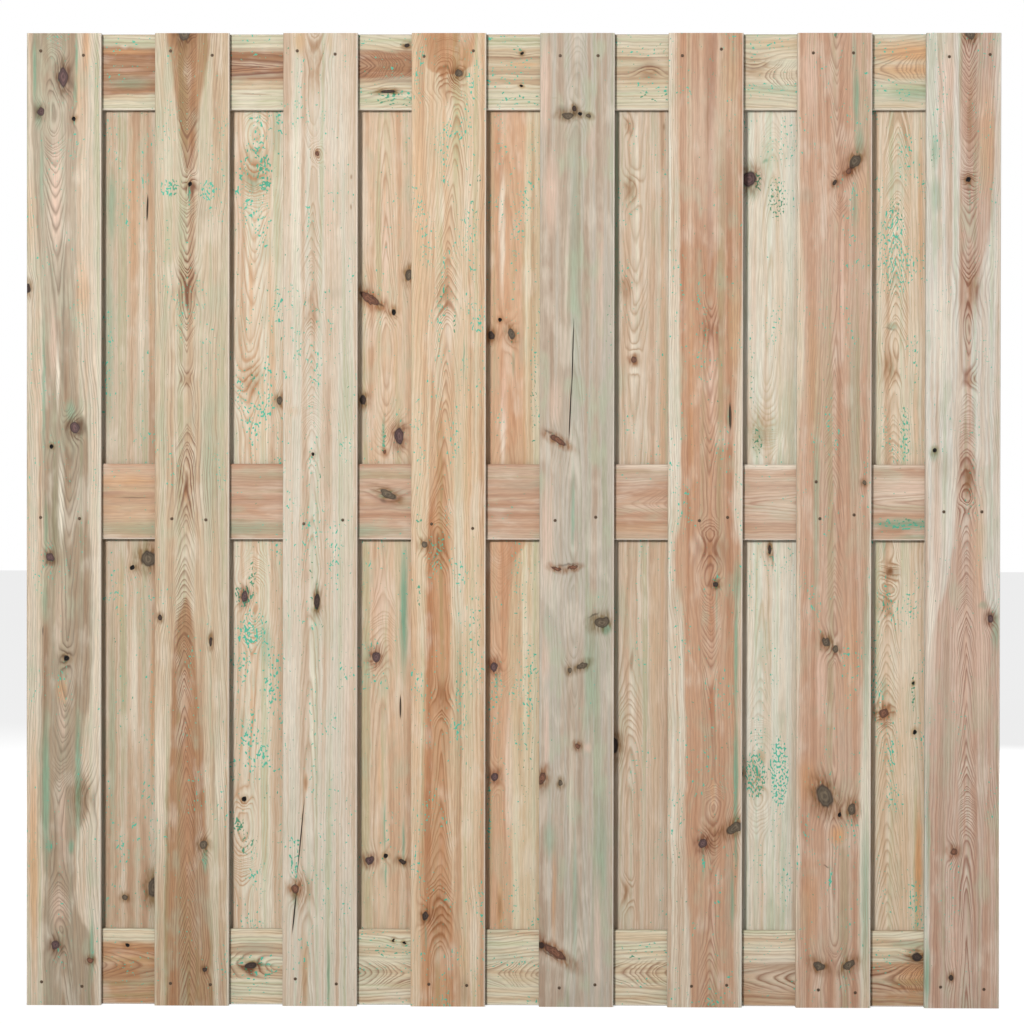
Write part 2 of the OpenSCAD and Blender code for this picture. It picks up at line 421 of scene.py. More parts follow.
            Knot(53, 290, 6, 6, "red", 14), Knot(49, 57, 4, 5, "dark", 6), Knot(80, 1798, 8, 9, "grey", 10),
        ),
        marks=(
            Mark(78, 1528, 18, 24, "brown", 0.7), Mark(80, 1640, 8, 100, "brown", 0.4), Mark(112, 1600, 26, 160, "orange", 0.45),
            Mark(79, 974, 10, 36, "brown", 0.75), Mark(84, 1327, 7, 30, "brown", 0.4), Mark(40, 1700, 22, 120, "pink", 0.5),
            Mark(16, 1590, 12, 60, "teal", 0.7), Mark(16, 1580, 11, 44, "green", 0.6), Mark(20, 1500, 14, 50, "green", 0.5),
            Mark(16, 1025, 14, 22, "green", 0.6), Mark(34, 1000, 22, 40, "grey", 0.4), Mark(5, 60, 8, 90, "green", 0.85),
            Mark(6, 330, 6, 200, "green", 0.5), Mark(50, 262, 5, 26, "teal", 0.9), Mark(52, 300, 12, 16, "grey", 0.5),
            Mark(64, 640, 34, 220, "pink", 0.35), Mark(40, 560, 14, 220, "grey", 0.45), Mark(104, 640, 20, 200, "pink", 0.6),
            Mark(24, 820, 24, 240, "pink", 0.35), Mark(98, 860, 20, 200, "orange", 0.35), Mark(30, 1250, 30, 160, "pale", 0.5),
            Mark(130, 700, 12, 60, "green", 0.6), Mark(60, 100, 26, 140, "pink", 0.45), Mark(80, 1500, 3, 60, "green", 0.7),
            Mark(118, 728, 8, 10, "black", 0.5), Mark(106, 745, 14, 10, "green", 0.5), Mark(12, 700, 12, 200, "pale", 0.5), Mark(30, 330, 10, 300, "brown", 0.2),
            Mark(80, 1650, 24, 130, "rust", 0.45),
        ),
        nails=(42, 1756, 117, 1760, 34, 917, 104, 917, 30, 39, 110, 35),
        lines=0.55, heart_lines=0.9,
    ),
)

# The back boards show through the gaps from 19 mm to 119 mm across their faces
BACK_BOARDS = (
    Board(
        sap="#C4B39E", heart="#B59F87", late="#9D8465", band=NO_HEART,
        centre=((0, -60), (1800, -50)), depth=((0, 60), (1800, 70)), rise=((0, 0), (900, 12), (1800, 0)),
        knots=(
            Knot(103, 828, 13, 15, "grey", 14), Knot(73, 811, 4.5, 5, "hole", 8), Knot(60, 196, 5, 5, "grey", 6),
            Knot(114, 214, 10, 18, "grey", 12),
        ),
        marks=(
            Mark(34, 1480, 14, 110, "green", 0.55), Mark(30, 1250, 12, 260, "green", 0.4), Mark(75, 1450, 12, 240, "orange", 0.3),
            Mark(90, 1300, 7, 300, "pale", 0.5), Mark(36, 500, 10, 300, "green", 0.5),
            Mark(76, 620, 14, 200, "pale", 0.4), Mark(110, 540, 8, 220, "orange", 0.4), Mark(66, 860, 4, 30, "brown", 0.5),
            Mark(50, 760, 12, 100, "tan", 0.4), Mark(108, 1350, 8, 300, "orange", 0.3),
        ),
        checks=((102, 1507, 100, 1452, 1.5),), ring=4.5, lines=0.75, bands=1.0,
    ),
    Board(
        sap="#D7CDB9", heart="#C4A17E", late="#B88E6A", band=NO_HEART,
        centre=((0, 50), (300, 44), (600, 58), (780, 62), (1100, 50), (1400, 62), (1560, 66), (1800, 60)),
        depth=((0, 26), (600, 20), (1200, 24), (1500, 26), (1800, 16)),
        rise=(
            (0, 60), (180, 90), (230, 80), (330, 15), (420, 30), (640, 30), (680, 20), (740, -20), (770, -20),
            (850, 40), (1050, 40), (1170, 10), (1460, -30), (1580, -110), (1600, -110), (1680, -60), (1800, 0),
        ),
        knots=(
            Knot(65, 1550, 14, 22, "eye", 12), Knot(58, 1160, 8, 14, "eye", 12), Knot(110, 1122, 5, 8, "grey", 12),
            Knot(45, 757, 6, 10, "purple", 16), Knot(45, 380, 4, 4, "hole", 14),
        ),
        marks=(
            Mark(84, 1545, 22, 50, "teal", 1.0), Mark(60, 1530, 16, 30, "green", 0.45), Mark(58, 1162, 9, 16, "teal", 1.0),
            Mark(52, 1080, 6, 40, "teal", 0.6), Mark(44, 760, 24, 30, "teal", 1.0), Mark(50, 690, 30, 36, "teal", 1.0),
            Mark(84, 670, 20, 60, "green", 0.4), Mark(60, 800, 12, 30, "teal", 0.8), Mark(36, 330, 16, 20, "teal", 1.0),
            Mark(48, 300, 20, 30, "teal", 0.8), Mark(56, 1330, 6, 120, "orange", 0.7), Mark(58, 540, 5, 90, "orange", 0.7),
            Mark(34, 1500, 10, 200, "pink", 0.4), Mark(96, 1250, 10, 200, "orange", 0.25), Mark(30, 330, 12, 60, "pale", 0.5),
            Mark(100, 1620, 16, 60, "grey", 0.35), Mark(80, 1100, 10, 120, "orange", 0.25),
        ),
        lines=0.8, specks=0.8,
    ),
    Board(
        sap="#D1BAA0", heart="#B29180", late="#AC8567", band=NO_HEART,
        centre=((0, 62), (600, 64), (1200, 70), (1800, 68)),
        depth=((0, 40), (500, 24), (900, 30), (1300, 14), (1800, 22)),
        rise=((0, 0), (600, 20), (700, 60), (800, 90), (1000, 60), (1200, 20), (1330, 40), (1640, 60), (1800, 80)),
        knots=(
            Knot(40, 1311, 21, 7, "red", 12, 32), Knot(85, 1286, 4.5, 6, "hole", 10), Knot(112, 1356, 6, 10, "grey", 10),
            Knot(95, 1055, 8, 14, "purple", 22), Knot(28, 1122, 7, 9, "dark", 12), Knot(68, 1028, 3, 4, "red", 5),
            Knot(53, 647, 7, 11, "purple", 18), Knot(41, 268, 8, 7, "purple", 8), Knot(71, 276, 4, 4, "hole", 6),
            Knot(102, 264, 7, 5, "dark", 8),
        ),
        marks=(
            Mark(104, 734, 11, 170, "green", 1.0), Mark(69, 330, 3, 70, "green", 0.9), Mark(104, 300, 4, 60, "green", 0.9),
            Mark(71, 240, 3, 36, "green", 0.9), Mark(66, 1060, 5, 50, "green", 0.9),
            Mark(66, 1050, 5, 40, "teal", 0.8), Mark(34, 1330, 24, 20, "grey", 0.45), Mark(62, 1300, 8, 3, "black", 0.6, 30),
            Mark(68, 1500, 3, 140, "orange", 0.5), Mark(70, 1430, 12, 140, "pink", 0.5), Mark(30, 1500, 12, 160, "pale", 0.4),
            Mark(88, 1200, 6, 100, "orange", 0.35), Mark(36, 640, 14, 60, "green", 0.35), Mark(60, 760, 26, 90, "pink", 0.4),
            Mark(58, 420, 10, 120, "orange", 0.3), Mark(30, 1090, 10, 60, "grey", 0.4),
        ),
        checks=((98, 576, 98, 528, 1.6),), lines=0.65,
    ),
    Board(
        sap="#D4C7AB", heart="#CBA687", late="#AF7E5A",
        band=(
            (0, -20, 70), (500, -20, 66), (660, -20, 62), (780, -20, 66), (840, -20, 78), (880, -20, 98),
            (1100, -20, 94), (1400, -20, 92), (1800, -20, 95),
        ),
        centre=((0, 44), (400, 40), (640, 48), (800, 46), (1200, 60), (1800, 52)),
        depth=((0, 16), (500, 14), (820, 14), (1200, 40), (1800, 40)),
        rise=((0, 0), (560, 10), (630, -30), (760, -40), (860, -110), (1000, -120), (1800, -100)),
        knots=(
            Knot(44, 1273, 3.5, 4, "hole", 5), Knot(28, 1244, 6, 8, "dark", 8), Knot(66, 1247, 6, 10, "grey", 12, -20),
            Knot(34, 628, 7, 9, "purple", 16), Knot(36, 423, 7, 8, "purple", 14),
        ),
        marks=(
            Mark(48, 1440, 9, 170, "pale", 0.8), Mark(50, 1060, 7, 90, "pale", 0.8), Mark(52, 1120, 10, 130, "pink", 0.45), Mark(70, 1190, 4, 36, "green", 0.7),
            Mark(46, 180, 6, 36, "brown", 0.7), Mark(46, 180, 10, 60, "orange", 0.6), Mark(40, 600, 4, 22, "green", 0.8),
            Mark(62, 440, 14, 200, "pale", 0.5), Mark(108, 1500, 9, 120, "teal", 0.4), Mark(108, 1150, 10, 140, "teal", 0.7),
            Mark(96, 500, 22, 200, "teal", 0.5), Mark(26, 340, 5, 110, "teal", 0.8), Mark(84, 700, 20, 140, "teal", 0.45),
            Mark(90, 1000, 4, 300, "orange", 0.3), Mark(84, 1230, 8, 70, "grey", 0.3),
        ),
        lines=0.4, heart_lines=0.5, specks=0.7, green=0.2,
    ),
    Board(
        sap="#CBBAA6", heart="#BA9B7E", late="#A7896B", band=NO_HEART,
        centre=((0, 48), (600, 52), (1200, 56), (1800, 56)),
        depth=((0, 24), (500, 16), (900, 24), (1800, 26)),
        rise=((0, 0), (420, 10), (640, 60), (700, 62), (1180, 50), (1400, 20), (1800, 0)),
        knots=(
            Knot(46, 1634, 4, 6, "eye", 8), Knot(52, 1514, 6, 12, "eye", 12), Knot(56, 1198, 5, 6, "red", 12),
            Knot(41, 1333, 6, 8, "eye", 8), Knot(19, 482, 9, 14, "dark", 16), Knot(44, 207, 5, 9, "eye", 10),
        ),
        marks=(
            Mark(62, 1480, 6, 250, "pale", 0.7), Mark(48, 1530, 4, 16, "brown", 0.45), Mark(50, 1620, 4, 12, "brown", 0.5),
            Mark(53, 641, 5, 30, "brown", 0.55), Mark(110, 1000, 10, 800, "orange", 0.5), Mark(28, 1330, 10, 40, "grey", 0.5),
            Mark(54, 1180, 10, 160, "pale", 0.4), Mark(54, 560, 8, 120, "pale", 0.4), Mark(96, 600, 14, 400, "tan", 0.35),
            Mark(24, 1500, 6, 300, "green", 0.4), Mark(111, 1630, 4, 10, "brown", 0.7), Mark(24, 700, 6, 160, "green", 0.3),
            Mark(30, 490, 8, 20, "grey", 0.5),
        ),
        lines=0.7,
    ),
    Board(
        sap="#D8D3C4", heart="#C1B396", late="#B8A281", band=NO_HEART,
        centre=((0, 48), (500, 52), (900, 58), (1300, 70), (1800, 78)),
        depth=((0, 24), (500, 18), (900, 26), (1300, 16), (1800, 20)),
        rise=((0, 30), (300, 30), (400, -20), (430, -20), (540, 60), (700, 80), (1000, 80), (1080, 20), (1300, 0), (1560, 20), (1660, 60), (1800, 70)),
        knots=(
            Knot(31, 1534, 13, 14, "purple", 22), Knot(52, 1072, 9, 18, "eye", 12), Knot(45, 427, 10, 18, "eye", 20),
            Knot(72, 846, 3, 8, "dark", 5), Knot(20, 430, 3, 5, "hole", 4),
        ),
        marks=(
            Mark(48, 1530, 10, 30, "teal", 1.0), Mark(40, 1510, 12, 26, "green", 0.5), Mark(84, 1500, 26, 60, "teal", 0.75),
            Mark(62, 1566, 10, 5, "green", 0.8, -30), Mark(32, 1530, 14, 50, "green", 0.6), Mark(38, 1180, 8, 140, "teal", 0.6),
            Mark(48, 1046, 14, 40, "teal", 0.85), Mark(56, 1060, 12, 30, "green", 0.3), Mark(46, 427, 28, 66, "teal", 1.0),
            Mark(90, 430, 26, 100, "teal", 0.95), Mark(50, 500, 20, 60, "teal", 0.7), Mark(90, 1250, 10, 300, "orange", 0.2),
            Mark(60, 200, 14, 60, "pink", 0.3), Mark(40, 1300, 10, 160, "pink", 0.25), Mark(77, 830, 3, 30, "brown", 0.6),
            Mark(70, 853, 4, 10, "brown", 0.7, 20), Mark(108, 1200, 8, 200, "tan", 0.3), Mark(34, 700, 10, 200, "pale", 0.4),
        ),
        lines=0.6, specks=0.6, green=0.5,
    ),
    Board(
        sap="#D8CAB4", heart="#C1A380", late="#AB8968", band=NO_HEART,
        centre=((0, 56), (600, 52), (1000, 62), (1400, 68), (1800, 72)),
        depth=((0, 12), (500, 14), (900, 18), (1300, 14), (1800, 18)),
        rise=(
            (0, 0), (430, 80), (500, 90), (660, 150), (740, 160), (780, 150), (830, 180), (1000, 200), (1110, 250),
            (1200, 255), (1300, 290), (1440, 330), (1620, 400), (1800, 420),
        ),
        knots=(
            Knot(58, 1183, 7, 14, "eye", 12), Knot(56, 804, 8, 8, "eye", 16), Knot(46, 745, 7, 10, "eye", 10),
            Knot(46, 543, 9, 9, "red", 16), Knot(104, 508, 3.5, 4, "hole", 4), Knot(100, 598, 2.5, 3, "hole", 3),
        ),
        marks=(
            Mark(62, 1410, 40, 130, "teal", 0.9), Mark(66, 1420, 10, 26, "teal", 1.0), Mark(60, 1260, 16, 12, "green", 0.6),
            Mark(56, 1255, 18, 3, "black", 0.35, 20), Mark(58, 1180, 8, 24, "green", 0.35), Mark(111, 260, 11, 170, "orange", 1.0),
            Mark(112, 1450, 8, 300, "orange", 0.55), Mark(104, 1100, 8, 150, "orange", 0.3), Mark(57, 806, 11, 11, "brown", 0.95), Mark(64, 802, 24, 14, "grey", 0.5),
            Mark(46, 590, 8, 30, "green", 0.5), Mark(48, 520, 14, 8, "brown", 0.5), Mark(100, 580, 5, 50, "teal", 1.0),
            Mark(84, 1060, 16, 80, "teal", 0.8), Mark(110, 150, 8, 90, "teal", 0.8), Mark(54, 350, 10, 120, "pale", 0.4),
            Mark(46, 860, 5, 50, "green", 0.6), Mark(70, 330, 70, 380, "tan", 0.3), Mark(46, 545, 4, 4, "pink", 0.7),
        ),
        lines=0.8, specks=0.8,
    ),
)

# x runs down a rail's face from its upper edge, and z along it from the left end
RAIL_BOARDS = (
    Board(
        sap="#CDC4AB", heart="#AC8A6E", late="#774D3A",
        band=(
            (0, 20, 116), (240, 22, 108), (300, 28, 86), (560, 32, 84), (700, 32, 82), (735, 46, 74),
            (770, 64, 56), (1800, 64, 56),
        ),
        centre=((0, 58), (700, 60), (1200, 60), (1360, 74), (1560, 66), (1800, 58)),
        depth=((0, 8), (600, 9), (760, 16), (1300, 18), (1800, 12)),
        rise=(
            (0, 0), (210, 14), (330, 18), (600, 40), (640, 60), (740, 150), (800, 155), (1340, 150), (1440, 90),
            (1500, 80), (1600, 60), (1720, -40), (1800, -50),
        ),
        knots=(
            Knot(106, 668, 3, 14, "dark", 8), Knot(68, 1152, 6, 9, "eye", 12), Knot(60, 1350, 9, 18, "eye", 10),
            Knot(20, 702, 4, 5, "dark", 4), Knot(36, 915, 3, 3, "hole", 3), Knot(96, 915, 2.5, 3, "hole", 2),
        ),
        marks=(
            Mark(90, 190, 18, 60, "green", 0.55), Mark(104, 180, 10, 60, "brown", 0.35), Mark(32, 180, 10, 80, "orange", 0.6),
            Mark(66, 180, 6, 50, "pink", 0.4), Mark(44, 420, 14, 110, "brown", 0.45), Mark(76, 420, 8, 100, "grey", 0.6),
            Mark(111, 420, 2.5, 50, "brown", 0.7), Mark(60, 680, 16, 60, "brown", 0.45), Mark(86, 690, 12, 60, "grey", 0.6),
            Mark(118, 690, 20, 60, "teal", 0.9), Mark(110, 1180, 20, 80, "teal", 0.7), Mark(30, 1150, 20, 70, "teal", 0.5),
            Mark(120, 920, 16, 70, "teal", 0.7), Mark(28, 900, 12, 20, "teal", 0.6), Mark(34, 1650, 30, 150, "orange", 0.8),
            Mark(66, 1650, 22, 150, "orange", 0.6), Mark(112, 1650, 20, 100, "green", 0.4), Mark(100, 1380, 14, 60, "green", 0.4),
            Mark(56, 920, 5, 50, "orange", 0.6), Mark(24, 180, 6, 10, "pale", 0.5), Mark(20, 1400, 18, 90, "tan", 0.4),
            Mark(66, 190, 60, 110, "brown", 0.3), Mark(70, 1400, 90, 110, "pale", 0.3),
        ),
        ring=7.0, heart_lines=0.9, lines=0.55, specks=0.5, width=140.0,
    ),
    Board(
        sap="#C7B7A0", heart="#C2A58E", late="#A37C66", band=ALL_HEART,
        centre=((0, 64), (600, 66), (1200, 72), (1800, 72)),
        depth=((0, 30), (700, 24), (1100, 14), (1800, 14)),
        rise=((0, 0), (700, 8), (1050, 10), (1250, -40), (1420, -50), (1550, -80), (1800, -90)),
        knots=(Knot(56, 668, 6, 16, "grey", 10, 25),),
        marks=(
            Mark(120, 300, 22, 330, "green", 0.55), Mark(125, 600, 16, 160, "green", 0.4), Mark(63, 200, 2, 50, "black", 0.5),
            Mark(30, 180, 18, 90, "orange", 0.4), Mark(80, 190, 14, 60, "grey", 0.4), Mark(66, 420, 2.5, 60, "brown", 0.5),
            Mark(52, 690, 12, 30, "grey", 0.7), Mark(58, 660, 8, 16, "green", 0.6), Mark(68, 660, 5, 10, "black", 0.5, 20),
            Mark(30, 440, 22, 100, "brown", 0.2), Mark(2, 1350, 12, 480, "pale", 0.85), Mark(40, 920, 18, 70, "grey", 0.4),
            Mark(24, 1150, 18, 70, "grey", 0.25), Mark(80, 1150, 9, 80, "pink", 0.5), Mark(78, 1400, 8, 60, "pink", 0.5),
            Mark(110, 1630, 14, 90, "teal", 0.9), Mark(110, 1635, 14, 100, "green", 0.8), Mark(134, 1650, 8, 60, "green", 0.5),
            Mark(118, 1150, 16, 300, "tan", 0.3), Mark(44, 1640, 20, 70, "pink", 0.4),
            Mark(70, 1390, 90, 110, "pale", 0.3), Mark(70, 190, 90, 120, "tan", 0.45),
            Mark(50, 1620, 50, 120, "pale", 0.45),
        ),
        ring=5.0, heart_lines=0.7, specks=0.25, width=140.0,
    ),
    Board(
        sap="#DAD1B7", heart="#BA9775", late="#855B42",
        band=(
            (0, 22, 150), (200, 26, 150), (290, 40, 150), (330, 80, 60), (1300, 80, 60), (1340, 62, 150),
            (1480, 60, 150), (1560, 62, 150), (1800, 56, 150),
        ),
        centre=((0, 68), (400, 68), (700, 82), (1100, 78), (1450, 90), (1800, 82)),
        depth=((0, 10), (400, 16), (800, 12), (1300, 14), (1800, 10)),
        rise=(
            (0, 0), (240, 90), (330, 100), (420, 60), (500, 60), (600, 70), (720, 130), (800, 135), (860, 130),
            (960, 70), (1080, 60), (1200, 0), (1340, -20), (1500, -60), (1600, -70), (1700, -150), (1800, -160),
        ),
        ring=6.5,
        knots=(
            Knot(30, 185, 3.5, 4, "hole", 4), Knot(68, 415, 6, 10, "dark", 16), Knot(48, 1650, 8, 9, "dark", 16),
            Knot(20, 680, 3, 3, "hole", 3), Knot(24, 700, 3, 3, "hole", 3),
        ),
        marks=(
            Mark(66, 440, 5, 34, "green", 0.9), Mark(50, 190, 12, 60, "orange", 0.5), Mark(80, 180, 30, 70, "brown", 0.25),
            Mark(36, 430, 20, 60, "grey", 0.5), Mark(70, 420, 30, 80, "teal", 0.6), Mark(40, 680, 22, 60, "teal", 0.7),
            Mark(60, 920, 30, 80, "teal", 0.4), Mark(40, 1150, 26, 80, "teal", 0.4), Mark(66, 1400, 12, 80, "brown", 0.4),
            Mark(50, 1640, 10, 60, "grey", 0.7), Mark(80, 1640, 26, 70, "orange", 0.5), Mark(24, 1640, 10, 60, "green", 0.5),
            Mark(100, 700, 14, 60, "tan", 0.4), Mark(90, 920, 16, 70, "tan", 0.5), Mark(90, 1150, 14, 70, "tan", 0.5),
            Mark(70, 1390, 90, 110, "pale", 0.45), Mark(56, 190, 50, 100, "orange", 0.3),
        ),
        heart_lines=0.95, lines=0.8, specks=0.5, width=140.0,
    ),
)


def colour(text):
    """The linear colour of an sRGB hex value."""
    parts = [int(text[i : i + 2], 16) / 255 for i in (1, 3, 5)]
    return [p / 12.92 if p <= 0.04045 else ((p + 0.055) / 1.055) ** 2.4 for p in parts] + [1.0]


def add(tree, kind, *values, output=0, sockets=None, **settings):
    """Adds a node with its settings, links or fills its visible inputs in order, and returns one output."""
    made = tree.nodes.new("ShaderNode" + kind)
    for name, value in settings.items():
        setattr(made, name, value)
    pairs = list(zip([socket for socket in made.inputs if socket.enabled], values))
    pairs += [(made.inputs[name], value) for name, value in (sockets or {}).items()]
    for socket, value in pairs:
        if isinstance(value, bpy.types.NodeSocket):
            tree.links.new(value, socket)
        elif value is not None:
            socket.default_value = value
    return [socket for socket in made.outputs if socket.enabled][output]


def begin(name):
    """A new material with an empty tree."""
    material = bpy.data.materials.new(name)
    material.use_nodes = True
    material.node_tree.nodes.clear()
    return material, material.node_tree


def along(tree, height, points):
    """A value that changes smoothly along a board, through the listed points."""
    low, high = min(v for _, v in points) - 1, max(v for _, v in points) + 1
    share = add(tree, "Math", height, 1 / PANEL_LENGTH, operation="MULTIPLY")
    line = add(tree, "FloatCurve", 1.0, share)
    curve = line.node.mapping.curves[0]
    spots = [(z / PANEL_LENGTH, (v - low) / (high - low)) for z, v in points]
    while len(curve.points) < len(spots):
        curve.points.new(0.5, 0.5)
    for point, spot in zip(curve.points, spots):
        point.location = spot
        point.handle_type = "AUTO_CLAMPED"
    line.node.mapping.update()
    return add(tree, "MapRange", line, 0.0, 1.0, low, high)


def figure(tree, place, lengths, seed, detail=2.0):
    """Soft irregular figure in the wood, with features about so many mm long on each axis, and its node."""
    cells = add(
        tree, "VectorMath", place, [1 / length for length in lengths], (seed, seed * 1.7, seed * 0.3),
        operation="MULTIPLY_ADD",
    )
    return add(tree, "TexNoise", cells, 1.0, detail)


def shifted(tree, place, lengths, seed, reach, detail=0.0):
    """A place moved sideways and along by up to reach mm, so that what is drawn there wavers."""
    push = figure(tree, place, lengths, seed, detail).node.outputs["Color"]
    push = add(
        tree, "VectorMath", push, [2 * r for r in reach], [-r for r in reach], operation="MULTIPLY_ADD"
    )
    return add(tree, "VectorMath", place, push, operation="ADD")


def fades(tree, value, full, none, most=1.0):
    """A share that is most at one value and fades softly to nothing at another."""
    return add(tree, "MapRange", value, full, none, most, 0.0, interpolation_type="SMOOTHSTEP")


def disc(tree, place, spot, reach=1.0):
    """How near a place is to the middle of a spot: 1 there, and 0 from so many times its own size outwards."""
    found = add(tree, "TexGradient", place, output=1, gradient_type="SPHERICAL")
    fit = found.node.texture_mapping
    fit.vector_type = "TEXTURE"
    fit.translation = (spot.x, 0.0, spot.z)
    fit.rotation = (0.0, math.radians(spot.lean), 0.0)
    fit.scale = (spot.half_x * reach, FAR, spot.half_z * reach)
    return found


def nearest(tree, found, share):
    """The greater of a share and the one found so far, if any."""
    return share if found is None else add(tree, "Math", found, share, operation="MAXIMUM")


def ramp(tree, value, stops):
    """A colour that runs through the listed hex values."""
    made = add(tree, "ValToRGB", value)
    elements = made.node.color_ramp.elements
    while len(elements) < len(stops):
        elements.new(0.5)
    for element, (position, text) in zip(elements, stops):
        element.position = position
        element.color = colour(text)
    return made


def year_rings(tree, place, board, seed):
    """How strongly the brown latewood line of a year ring shows at a place, and the share of heartwood there."""
    wandering = shifted(tree, place, (90, 90, 420), seed, (7, 4, 0), 1.0)
    parts = add(tree, "SeparateXYZ", wandering).node.outputs
    across = add(tree, "Math", parts[0], along(tree, parts[2], board.centre), operation="SUBTRACT")
    inward = add(tree, "Math", parts[1], along(tree, parts[2], board.depth), operation="ADD")
    flat = add(tree, "CombineXYZ", across, inward, 0.0)
    reach = add(tree, "VectorMath", flat, operation="LENGTH")
    left = along(tree, parts[2], [(z, edge) for z, edge, _ in board.band])
    right = along(tree, parts[2], [(z, edge) for z, _, edge in board.band])
    inside = add(
        tree, "Math", add(tree, "Math", parts[0], left, operation="SUBTRACT"),
        add(tree, "Math", right, parts[0], operation="SUBTRACT"), operation="MINIMUM",
    )
    heart = fades(tree, inside, HEART_EDGE, -HEART_EDGE)
    strength = add(tree, "MapRange", figure(tree, place, (26, 26, 200), seed + 9), 0.3, 0.66, 0.45, 1.2)
    # The stem swells round each branch, which closes the rings round its knot and crowds them
    swell = 0.0
    for knot in board.knots:
        size = max(knot.half_x, knot.half_z)
        bulge = disc(tree, place, knot._replace(half_x=size * 1.6 + 12, half_z=size * 2.6 + 24, lean=0.0))
        swell = add(tree, "Math", fades(tree, bulge, 1.0, 0.0, knot.pull), swell, operation="ADD")
    reach = add(tree, "Math", reach, swell, operation="ADD")
    strength = add(tree, "Math", swell, CROWDING, strength, operation="MULTIPLY_ADD")
    # Over the pith the rings close in arches; on the flanks they run almost straight
    rise = along(tree, parts[2], board.rise)
    arches = add(tree, "Math", reach, rise, operation="ADD")
    straight = add(tree, "Math", rise, FLANK_RISE, reach, operation="MULTIPLY_ADD")
    aside = add(tree, "Math", across, operation="ABSOLUTE")
    over = fades(tree, aside, board.core * 0.6, board.core * 1.4)
    late = add(
        tree, "Mix", over, latewood(tree, straight, board, FLANK_LINES), latewood(tree, arches, board, 1.0),
        data_type="RGBA",
    )
    strength = add(tree, "Math", strength, late, operation="MULTIPLY")
    plain = add(tree, "Math", heart, board.heart_lines - board.lines, board.lines, operation="MULTIPLY_ADD")
    return add(tree, "Math", strength, plain, operation="MULTIPLY", use_clamp=True), heart


def latewood(tree, out, board, strength):
    """The dark share of the year rings, at a distance out from the pith."""
    # Ring widths vary from year to year
    uneven = add(tree, "TexNoise", out, 1 / (board.ring * 3), 1.0, noise_dimensions="1D")
    out = add(tree, "Math", uneven, board.ring * 3.0, out, operation="MULTIPLY_ADD")
    year = add(tree, "Math", add(tree, "Math", out, board.ring, operation="DIVIDE"), operation="FRACT")
    return add(tree, "Math", ramp(tree, year, LATEWOOD), strength, operation="MULTIPLY")


def stains(tree, place, board):
    """The share of each kind of stain on a board's face."""
    spots = {}
    for mark in board.marks:
        level = min(STAIN_LEVELS, key=lambda step: abs(step - mark.strength))
        spots[mark.kind, level] = nearest(tree, spots.get((mark.kind, level)), disc(tree, place, mark))
    shares = {}
    for (kind, level), spot in spots.items():
        share = fades(tree, spot, 0.5 if kind == "teal" else 0.85, 0.0, level)
        shares[kind] = nearest(tree, shares.get(kind), share)
    return shares


def nail_spots(board, number):
    """Where a plank's nails are on its face, in mm: listed for the front, and guessed for the back."""
    if board.nails:
        return list(zip(board.nails[::2], board.nails[1::2]))
    dice = random.Random(number)
    spots = []
    for node in RAILS:
        low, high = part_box(node)
        for share in NAIL_SHARES:
            x = share * board.width + dice.uniform(-5, 5)
            spots.append((x, METRE * (low.z + high.z) / 2 + dice.uniform(-12, 12)))
    return spots


def crack(check, deepen=0.0):
    """A check as a thin upright spot, at its middle, with its own lean."""
    x0, z0, x1, z1, half = check
    length = math.hypot(x0 - x1, z0 - z1)
    lean = math.degrees(math.atan2(x0 - x1, z0 - z1))
    return Mark((x0 + x1) / 2, (z0 + z1) / 2, half + deepen, length / 2, "black", 0.95, lean)


def knot_edges(tree, place, board):
    """How far a place is from the nearest knot of each kind, where 1 is its edge."""
    found = {}
    for knot in board.knots:
        found[knot.kind] = nearest(tree, found.get(knot.kind), disc(tree, place, knot, KNOT_CAST))
    return {
        kind: add(tree, "Math", spot, -KNOT_CAST, KNOT_CAST, operation="MULTIPLY_ADD")
        for kind, spot in found.items()
    }


